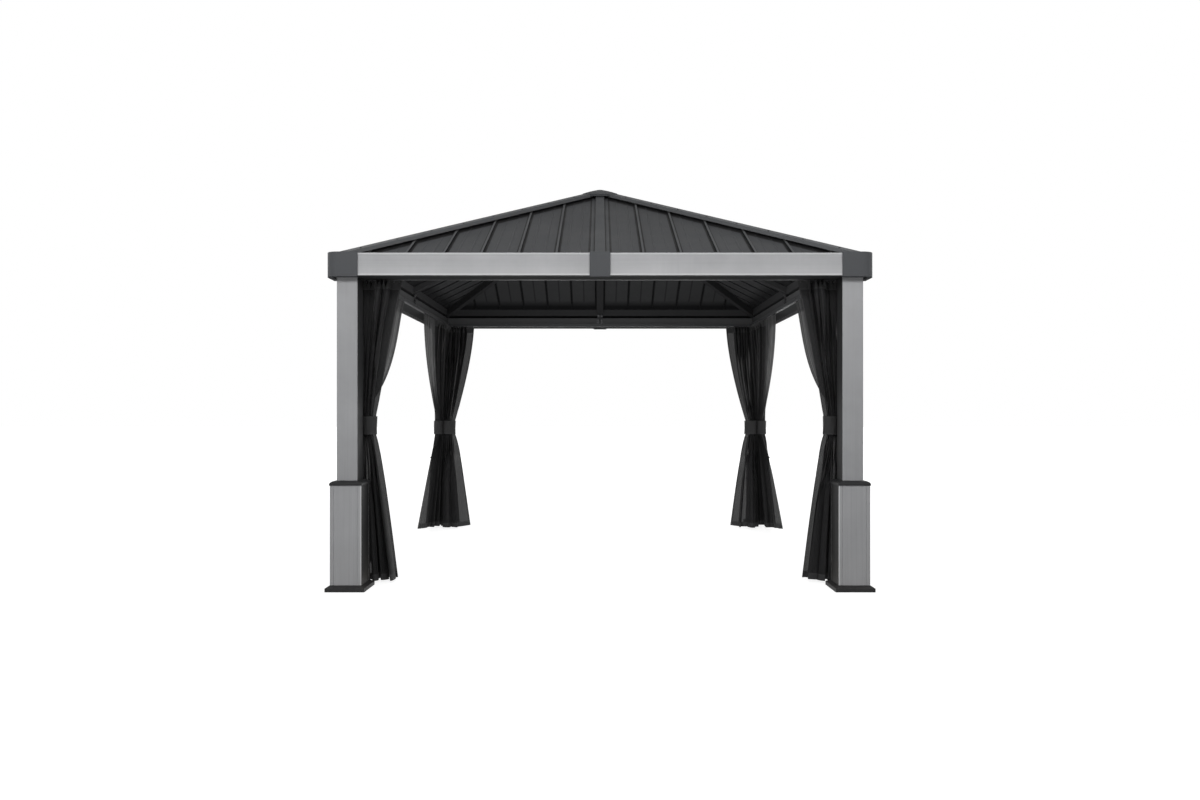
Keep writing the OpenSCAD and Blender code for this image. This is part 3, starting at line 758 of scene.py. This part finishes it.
def roof_details(paint, steel):
    """The roof sheets' creases and folded lips, and their screws."""
    ribs = rib_places()
    # Two shallow creases in each bay stiffen the sheet, clear of the batten and of the hips
    bays = np.concatenate([(ribs[:-1] + ribs[1:]) / 2, [ribs[0] - RIB_PITCH / 2, ribs[-1] + RIB_PITCH / 2]])
    first, apart = 0.181, 0.043
    bays = np.concatenate([bays[np.abs(bays) > 0.2], [-first, first]])
    x = np.concatenate([bays - apart, bays + apart])
    x = x[(np.abs(x) > 0.08) & (np.abs(x) < LOW_T - 0.12)]
    top = np.maximum(np.abs(x) + 0.035, 0.16)
    crease = [(-0.008, 0.0), (-0.003, 0.0014), (0.003, 0.0014), (0.008, 0.0)]
    slope_bars("roof_creases", x, top, np.full_like(x, LOW_T - 0.002), crease, 0.0, paint)

    # Folded lips of the sheets under each rib, as seen from inside
    x = np.concatenate([ribs - 0.0065, ribs + 0.0065, [-0.052, 0.052]])
    top = np.maximum(np.abs(x) + 0.075, 0.19)
    keep = top < POST_IN - 0.06
    x, top, foot = x[keep], top[keep], np.full(keep.sum(), POST_IN - 0.008)
    fold = [(-0.0013, 0.0), (-0.0013, -0.0070), (0.0013, -0.0070), (0.0013, 0.0)]
    slope_bars("sheet_lips", x, top, foot, fold, -SHEET, paint)

    # Screws: at the foot of each rib, and along both sides of the hip caps
    rib_screws = on_slope(ribs, LOW_T - 0.028, RIB_H)[np.abs(ribs) < LOW_T - 0.06]
    run, aside = np.linspace(0.26, LOW_T - 0.13, 8), 0.040
    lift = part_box("hip_caps")[1].z - roof(0.068)
    hips = np.concatenate([on_slope(-run + aside, run, lift), on_slope(run - aside, run, lift)])
    places = np.concatenate([quarter_turns(rib_screws), quarter_turns(hips)])
    ups = [quarter_turns(np.tile(slope_up(), (len(group), 1))) for group in (rib_screws, hips)]
    points, faces = repeated(HEX_HEAD, places, np.concatenate(ups))
    outward_faces(piece("roof_screws", points, faces, steel))


# ---------------- frame fittings


def frame_screws(steel):
    """Pan-head screws under the covers, the beams and along the tracks, and bolts in the rafters' brackets.
    They are given for the front side."""
    down, inward = (0, 0, -1.0), (0, 1.0, 0)
    cover = [k * x for k in (-1, 1) for x in (0.045, COVER_OUT - 0.195, COVER_OUT - 0.120)]
    heads = [((x, -(COVER_OUT - 0.017), COVER_LOW), down) for x in cover]
    beam = (-0.20, -0.65, -1.10, -1.50, 0.20, 0.65, 1.10, 1.50)
    heads += [((x, -(POST_OUT + 0.026), EAVE), down) for x in beam]
    track = (-1.56, -1.0, -0.5, 0.0, 0.5, 1.0, 1.56)
    heads += [((x, -TRACK_IN + 0.024, EAVE + 0.022), inward) for x in track]
    low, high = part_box("rafter_brackets")
    rows = (low.z + 0.012, low.z + 0.036, high.z - 0.012)
    bolts = [((x, -(POST_IN - 0.0035), z), inward) for x in (-0.018, 0.018) for z in rows]
    for name, shape, fixings in (("cover_screws", PAN_HEAD, heads), ("bracket_bolts", BOLT_HEAD, bolts)):
        places, axes = zip(*fixings)
        points, faces = repeated(shape, quarter_turns(places), quarter_turns(axes))
        outward_faces(piece(name, points, faces, steel))


# ---------------- netting

NET_W, NET_L = 1.63, 2.08  # each half's flat width and height
NET_TOP = EAVE - 0.002
NET_FOOT = 0.018  # the hem's height over the ground
HEADER, HEM, BINDING = 0.064, 0.045, 0.014  # the tapes' widths
STRAP_R = 0.0470  # the strap's inner radius
TIE_WAVE = 0.044 * 0.9  # the depth of the folds in the strap
HOLD = (0.047, 0.040)  # from the strap's middle to the cloth's ends in it
# Past this x the folds keep to limits in y, by height, clear of the post's box and skirt
NEAR_POST = 1.55
LIMIT_Z, LIMIT_Y, LIMIT_SOFT = (0.03, 0.09, 0.6, 0.80), (1.562, 1.581, 1.583, 1.600), 0.012
PER_FOLD, ROWS = 20, 72  # the cloth's columns in each fold, and its rows


def smooth(x):
    """From 0 to 1 as x does, with level ends."""
    x = np.clip(x, 0, 1)
    return x * x * (3 - 2 * x)


def net_points(u, v, net):
    """A hanging net. u runs from its post to its free edge, and v from its track to its hem.
    At each height the cloth is a line in plan between two ends, bent by a share of 4s(1 - s), with waves
    across it, A sin p, that lean over themselves by B sin 2p along it. The last strip beside the free edge
    hangs nearly flat. Above the strap both ends close in on it as a power of the drop, and below it they open
    again; in the strap the waves fill a circle."""
    u, v = np.broadcast_arrays(np.asarray(u, float), np.asarray(v, float))
    shift = np.random.default_rng(net["seed"]).uniform(0, 2 * np.pi, 16)
    band, band_from = net["band"]
    s = np.interp(u, [0, band, 1], [0, band_from, 1])
    foot = NET_FOOT + net["lift"] * s**2 + 0.003 * np.sin(2 * np.pi * 3 * s + shift[0]) * (1 - s)
    z = NET_TOP - v * (NET_TOP - foot)
    high, low = net["tie_z"] + net["tie_h"] / 2, net["tie_z"] - net["tie_h"] / 2
    w = np.clip((NET_TOP - z) / (NET_TOP - high), 0, 1)
    g = np.clip((low - z) / (low - NET_FOOT), 0, 1)
    tie = np.array(net["tie"])
    inward = np.array(net["tie_dir"])

    def end(top, drape, foot_at, flare, hold):
        down = (w ** (drape[0] + drape[1] * w))[..., None]
        out = (g**flare)[..., None]
        top, foot_at = np.array(top, float), np.array(foot_at, float)
        return np.where(out > 0, hold + (foot_at - hold) * out, top + (hold - top) * down)

    held = [inward * (reach + net["wide"]) for reach in HOLD]
    fixed = end(net["top"][0], (1.2, 0.0), net["hem"][0], 0.9, tie - held[0])
    free = end(net["top"][1], net["drape"], net["hem"][1], net["flare"], tie + held[1])
    s3 = s[..., None]
    line = fixed + (free - fixed) * s3 + np.array(net["bend"]) * (4 * s3 * (1 - s3)) * (g[..., None] ** 0.8)
    along = free - fixed
    span = np.linalg.norm(along, axis=-1)
    along = along / span[..., None]
    across = np.stack([-along[..., 1], along[..., 0]], axis=-1)

    tight = np.where(g > 0, (1 - g) ** 5, w**6)
    envelope = 1 + (np.sqrt(np.clip(1 - (2 * s - 1) ** 2, 0.02, 1)) - 1) * tight
    size = np.where(
        g > 0,
        TIE_WAVE * (1 - g**0.7) + net["hem_wave"] * g**0.7,
        net["top_wave"] * (1 - w**3) + TIE_WAVE * w**3,
    )
    loose = (1 - tight) * smooth(v / 0.05)
    uneven = 1 + (0.30 * np.sin(2 * np.pi * 2.3 * u + shift[1] + 1.1 * v)
                  + 0.18 * np.sin(2 * np.pi * 4.9 * u + shift[2] - 2.0 * v)) * loose
    calm = 1 - (1 - tight) * smooth((u - band + 0.04) / 0.05) * 0.92
    wander = 0.022 * np.sin(2 * np.pi * 1.7 * u + shift[3])
    wander = wander + 0.010 * np.sin(2 * np.pi * 3.1 * u + shift[4] + 2.0 * v)
    phase = 2 * np.pi * net["folds"] * (u + wander) + shift[7]
    # Below the header, and again below the strap, neighbouring folds run together in pairs
    merge = np.where(g > 0, smooth(g / 0.5), 0.65 * smooth((v - 0.04) / 0.25) * (1 - w**4))
    half = phase / 2 + shift[5]
    wave = ((1 - 0.8 * merge) * np.sin(phase) + merge * np.sin(half)) * size * envelope * uneven * calm
    fine = 0.0010 * np.sin(phase * 2.3 + shift[6] + 5 * v) * (1 - tight)
    lean = (1 - merge) * np.sin(2 * phase) + 1.7 * merge * np.sin(2 * half + 0.4)
    lean *= net["lean"] * span / net["folds"] * (1 - 0.4 * tight) * smooth(v / 0.04 + 0.15)
    plan = line + across * (wave + fine)[..., None] + along * (lean * calm)[..., None]
    x, y = plan[..., 0], plan[..., 1]
    limit = np.interp(z, LIMIT_Z, LIMIT_Y)
    kept = limit - LIMIT_SOFT * np.log1p(np.exp((limit - y) / LIMIT_SOFT))
    sx, sy = net["corner"]
    return np.stack([x * sx, np.where(x > NEAR_POST, kept, y) * sy, z], axis=-1)


def net_normals(u, v, net):
    """The cloth's unit normals, from points a small step away in u and v."""
    e = 1e-4
    du = net_points(u + e, v, net) - net_points(u - e, v, net)
    dv = net_points(u, v + e, net) - net_points(u, v - e, net)
    n = np.cross(du, dv)
    return n / np.maximum(np.linalg.norm(n, axis=-1, keepdims=True), 1e-12)


def band(u0, u1, v0, v1, columns, rows, net, thick):
    """A flat tube round a stretch of the net: a layer on each side of it, joined at the rim."""
    u, v = np.meshgrid(np.linspace(u0, u1, columns), np.linspace(v0, v1, rows))
    middle, normal = net_points(u, v, net), net_normals(u, v, net)
    points, faces = two_layers(middle + normal * thick, middle - normal * thick)
    cloth = np.stack([u * NET_W, v * NET_L], axis=-1).reshape(-1, 2)
    edge_way = np.abs(v1 - v0) * NET_L < np.abs(u1 - u0) * NET_W
    inside = np.minimum(v - v0, v1 - v) * NET_L if edge_way else np.minimum(u - u0, u1 - u) * NET_W
    run = u * NET_W if edge_way else v * NET_L
    edge = np.stack([run, inside], axis=-1).reshape(-1, 2)
    return points, faces, np.tile(cloth, (2, 1)), np.tile(edge, (2, 1))


def joined(parts):
    """Several shells, with their cloth and rim maps, as one mesh."""
    points, faces, cloth, rim = zip(*parts)
    before = np.cumsum([0] + [len(p) for p in points[:-1]])
    faces = np.concatenate([f + count for f, count in zip(faces, before)])
    maps = {"cloth": np.concatenate(cloth), "rim": np.concatenate(rim)}
    return np.concatenate(points), faces.tolist(), maps


def hang_net(name, net, cloth_finish, tape_finish):
    """A net, its header, its hem and the tapes on its two upright edges."""
    columns = net["folds"] * PER_FOLD + 1
    u, v = np.meshgrid(np.linspace(0, 1, columns), np.linspace(0, 1, ROWS))
    points = net_points(u, v, net)
    cloth = {"cloth": np.stack([u * NET_W, v * NET_L], axis=-1)}
    faces = grid_faces(ROWS, columns).tolist()
    sheet = piece(name + "_cloth", points, faces, cloth_finish, cloth, crease=180)
    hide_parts(name)
    thick = 0.0009
    head, hem, edge = HEADER / NET_L, HEM / NET_L, BINDING / NET_W
    trims = [
        band(0, 1, 0, head, columns, 4, net, thick),
        band(0, 1, 1 - hem, 1, columns, 4, net, thick),
        band(1 - edge, 1, head, 1 - hem, 3, ROWS, net, thick),
        band(0, edge, head, 1 - hem, 3, ROWS, net, thick),
    ]
    points, faces, maps = joined(trims)
    trim = outward_faces(piece(name + "_tape", points, faces, tape_finish, maps, crease=60))


def strap(name, net, finish):
    """A band round a gathered net: a circle whose radius swells and pinches by a few small waves in angle and
    height, with a wall, and a lap of somewhat over a quarter of a turn where its ends meet."""
    sx, sy = net["corner"]
    middle = np.array([net["tie"][0] * sx, net["tie"][1] * sy, net["tie_z"]])
    shift = np.random.default_rng(net["seed"] + 50).uniform(0, 2 * np.pi, 6)
    thick = 0.0016

    def shell(a0, a1, lift, columns, tall):
        a, h = np.meshgrid(np.linspace(a0, a1, columns), np.linspace(-tall / 2, tall / 2, 9))
        radius = (
            STRAP_R
            + lift
            + 0.0010 * np.sin(3 * a + shift[0] + 20 * h)
            + 0.0007 * np.sin(7 * a + shift[1] - 35 * h)
            + 0.0012 * (2 * h / tall) ** 2
        )
        layers = [
            np.stack([np.cos(a) * (q + net["wide"]), np.sin(a) * q, h], axis=-1) + middle
            for q in (radius + thick, radius)
        ]
        cloth = np.stack([a * STRAP_R, h], axis=-1).reshape(-1, 2)
        edge = np.stack([a * STRAP_R, tall / 2 - np.abs(h)], axis=-1).reshape(-1, 2)
        return (*two_layers(*layers), np.tile(cloth, (2, 1)), np.tile(edge, (2, 1)))

    ends, half_lap = math.pi * (0.25 if sx > 0 else 0.95), 0.9
    parts = [
        shell(ends, ends + 2 * math.pi - 0.02, 0.0, 73, net["tie_h"]),
        shell(ends - half_lap, ends + half_lap, 0.0018, 25, net["tie_h"] - 0.004),
    ]
    points, faces, maps = joined(parts)
    return outward_faces(piece(name, points, faces, finish, maps, crease=50))


def glider_places(net, count):
    """Where the net's carriers hang: on the track's middle line, at even steps along the net's header."""
    u = (np.arange(count) + 0.5) / count
    (x0, y0), (x1, y1) = net["top"]
    sx, sy = net["corner"]
    return np.stack([(x0 + (x1 - x0) * u) * sx, (y0 + (y1 - y0) * u) * sy, np.full(count, NET_TOP)], axis=-1)


GLIDER = turned(
    [(0, -0.014), (0.0042, -0.013), (0.0046, -0.008), (0.0018, -0.004), (0.0016, 0.0060), (0.0052, 0.0062),
     (0.0052, 0.0068), (0.0026, 0.0095), (0.0026, 0.0120), (0, 0.0125)], 8)

# A net across the front or rear is gathered short, and one along a side is spread long. Places are x and y
# at the rear right corner: the strap's (tie), and the fixed and free ends' at the track (top) and the hem.
SHORT = dict(tie_dir=(-1.0, 0.0), flare=0.78, lift=0.006, folds=7, band=(0.94, 0.74), top_wave=0.060)
LONG = dict(
    tie_dir=(0.0, -1.0), tie=(1.706, 1.540), wide=0.0, hem=((1.715, 1.555), (1.776, 0.770)), bend=(0.0, 0.0),
    flare=0.8, lift=0.045, folds=11, band=(0.66, 0.58), top_wave=0.040, hem_wave=0.050, lean=0.20)
# By place: the side in y, what both nets share, then what is the short net's own and what is the long net's
PLACES = {
    "front": (
        -1,
        dict(tie_z=1.105, tie_h=0.127),
        dict(tie=(1.606, 1.540), wide=0.0, top=((1.634, 1.600), (1.362, TRACK_MID)), drape=(0.95, 0.0),
             hem=((1.664, 1.545), (1.436, 1.430)), bend=(-0.02, -0.05), hem_wave=0.074, lean=0.62),
        dict(top=((TRACK_MID, 1.575), (TRACK_MID, 0.450)), drape=(1.0, 1.85)),
    ),
    "rear": (
        1,
        dict(tie_z=1.035, tie_h=0.141),
        dict(tie=(1.592, 1.540), wide=0.0145, top=((1.634, 1.600), (1.345, TRACK_MID)), drape=(1.5, 0.0),
             hem=((1.664, 1.545), (1.352, 1.370)), bend=(0.0, -0.16), hem_wave=0.09, lean=0.5),
        dict(top=((TRACK_MID, 1.575), (TRACK_MID, 0.345)), drape=(2.0, 0.0)),
    ),
}


def nets():
    """The eight nets: a short one and a long one at each post, given for one corner and mirrored."""
    made = {}
    for place, (sy, tie, short, long) in PLACES.items():
        for sx, side in ((-1, "left"), (1, "right")):
            turn = 7 * sx + 3 * sy
            made[f"net_{place}_{side}"] = {**SHORT, **tie, **short, "corner": (sx, sy), "seed": 11 + turn}
            made[f"net_{side}_{place}"] = {**LONG, **tie, **long, "corner": (sx, sy), "seed": 31 + turn}
    return made


# ---------------- put together

look()
studio()

GROUPS = {
    "grain": powder_grain(),
    "edge": edge_rub_and_highlight(),
    "dust": settled_dust(),
    "rain": rain_streaks(),
    "net": knitted_net(),
    "tape": woven_tape(),
}
# Each rim colour is paler than its paint, a painted highlight along the edges; each under colour is painted
# shade on faces that look down
LIGHT_GREY, CHARCOAL, SLATE = (0.385, 0.388, 0.398), (0.038, 0.0383, 0.0395), (0.060, 0.062, 0.066)
PALE_HIGHLIGHT, SLATE_HIGHLIGHT, STRIP = (0.50, 0.505, 0.515), (0.08, 0.083, 0.086), (0.060, 0.063, 0.067)
ROOF_TRIM = dict(rough=0.55, worn=0.06, dusty=0.03, splash=0.0)
FINISHES = {
    "post": painted(
        "grey_coat_post", (0.364, 0.367, 0.377), CHARCOAL, POST_OUT - 0.005, rim=PALE_HIGHLIGHT, drawn=0.035,
        mottle=0.08),
    "base_box": painted(
        "grey_coat_box", LIGHT_GREY, (0.010, 0.010, 0.0105), BOX_OUT - 0.005, rim=PALE_HIGHLIGHT, drawn=0.06,
        painted_light=arris_highlight, round_off=0.003, dusty=0.1, splash=0.2),
    "fascia": painted(
        "grey_coat_fascia", LIGHT_GREY, CHARCOAL, FASCIA_OUT - 0.005, rim=(0.54, 0.545, 0.55), streaks=0.12,
        dusty=0.05, mottle=0.11, round_off=0.003, painted_light=fascia_highlights, drawn=0.035, drawn_way=(0.5, 0.5, 90.0)),
    "charcoal": painted(
        "charcoal_coat", CHARCOAL, rough=0.65, rim=(0.06, 0.061, 0.064), worn=0.15, shine=0.05, dusty=0.05),
    "beam": painted(
        "charcoal_coat_beam", (0.088, 0.089, 0.091), under=(0.055, 0.056, 0.057), rough=0.7,
        rim=(0.09, 0.091, 0.094), worn=0.1, shine=0.03, dusty=0.05),
    "skirt": painted(
        "charcoal_coat_foot", (0.026, 0.0262, 0.0275), rough=0.5, rim=(0.07, 0.071, 0.074), worn=0.1,
        dusty=0.03, shine=0.12, splash=0.06),
    "roof": painted(
        "slate_coat", SLATE, rough=0.6, rim=SLATE_HIGHLIGHT, worn=0.06, dusty=0.03, streaks=0.25, shine=0.08,
        under=(0.050, 0.0505, 0.052), mottle=0.09, painted_light=rib_shade_and_highlight),
    "hip": painted("slate_coat_hip", (0.118, 0.121, 0.126), rim=(0.14, 0.143, 0.147), shine=0.1, **ROOF_TRIM),
    "batten": painted("slate_coat_batten", STRIP, rim=SLATE_HIGHLIGHT, shine=0.08, painted_light=dark_sides, **ROOF_TRIM),
    "peak": painted("slate_coat_peak", STRIP, rim=SLATE_HIGHLIGHT, shine=0.08, **ROOF_TRIM),
    "cap": painted("slate_coat_trim", (0.078, 0.081, 0.086), rim=(0.1, 0.103, 0.107), shine=0.1, **ROOF_TRIM),
    "track": track_metal(),
    "net": net_cloth(),
    "tape": tape_cloth("black_tape", (0.006, 0.006, 0.0065), (0.011, 0.011, 0.0115)),
    "strap": tape_cloth("black_strap", (0.008, 0.008, 0.0085), (0.014, 0.014, 0.0145)),
    "steel": plated_steel(),
    "nylon": glider_plastic(),
}
# Each node's finish, by the first of these that its name starts with, or else charcoal
FINISH_OF = {
    "post_": "post", "base_box": "base_box", "base_": "skirt", "ring_beam": "beam", "fascia_joint": "cap",
    "fascia_": "fascia", "corner_caps": "cap", "hip_caps": "hip", "roof_battens": "batten", "top_cap": "peak",
    "roof_panel": "roof", "curtain_tracks": "track", "net_": "net", "tie_straps": "strap",
}
for part in frame["record"]["subparts"]:
    node = part["node"]
    finish = next((own for start, own in FINISH_OF.items() if node.startswith(start)), "charcoal")
    mesh = frame["nodes"][node].data
    mesh.materials.clear()
    mesh.materials.append(FINISHES[finish])

roof_details(FINISHES["roof"], FINISHES["steel"])
hip_upstands(FINISHES["charcoal"])
box_trims(FINISHES["base_box"])
frame_screws(FINISHES["steel"])
carriers = []
for name, net in nets().items():
    hang_net(name, net, FINISHES["net"], FINISHES["tape"])
    strap("strap_" + name[4:], net, FINISHES["strap"])
    carriers.append(glider_places(net, net["folds"]))
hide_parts("tie_straps")
carriers = np.concatenate(carriers)
points, faces = repeated(GLIDER, carriers, np.tile([0, 0, 1.0], (len(carriers), 1)))
outward_faces(piece("net_gliders", points, faces, FINISHES["nylon"]))
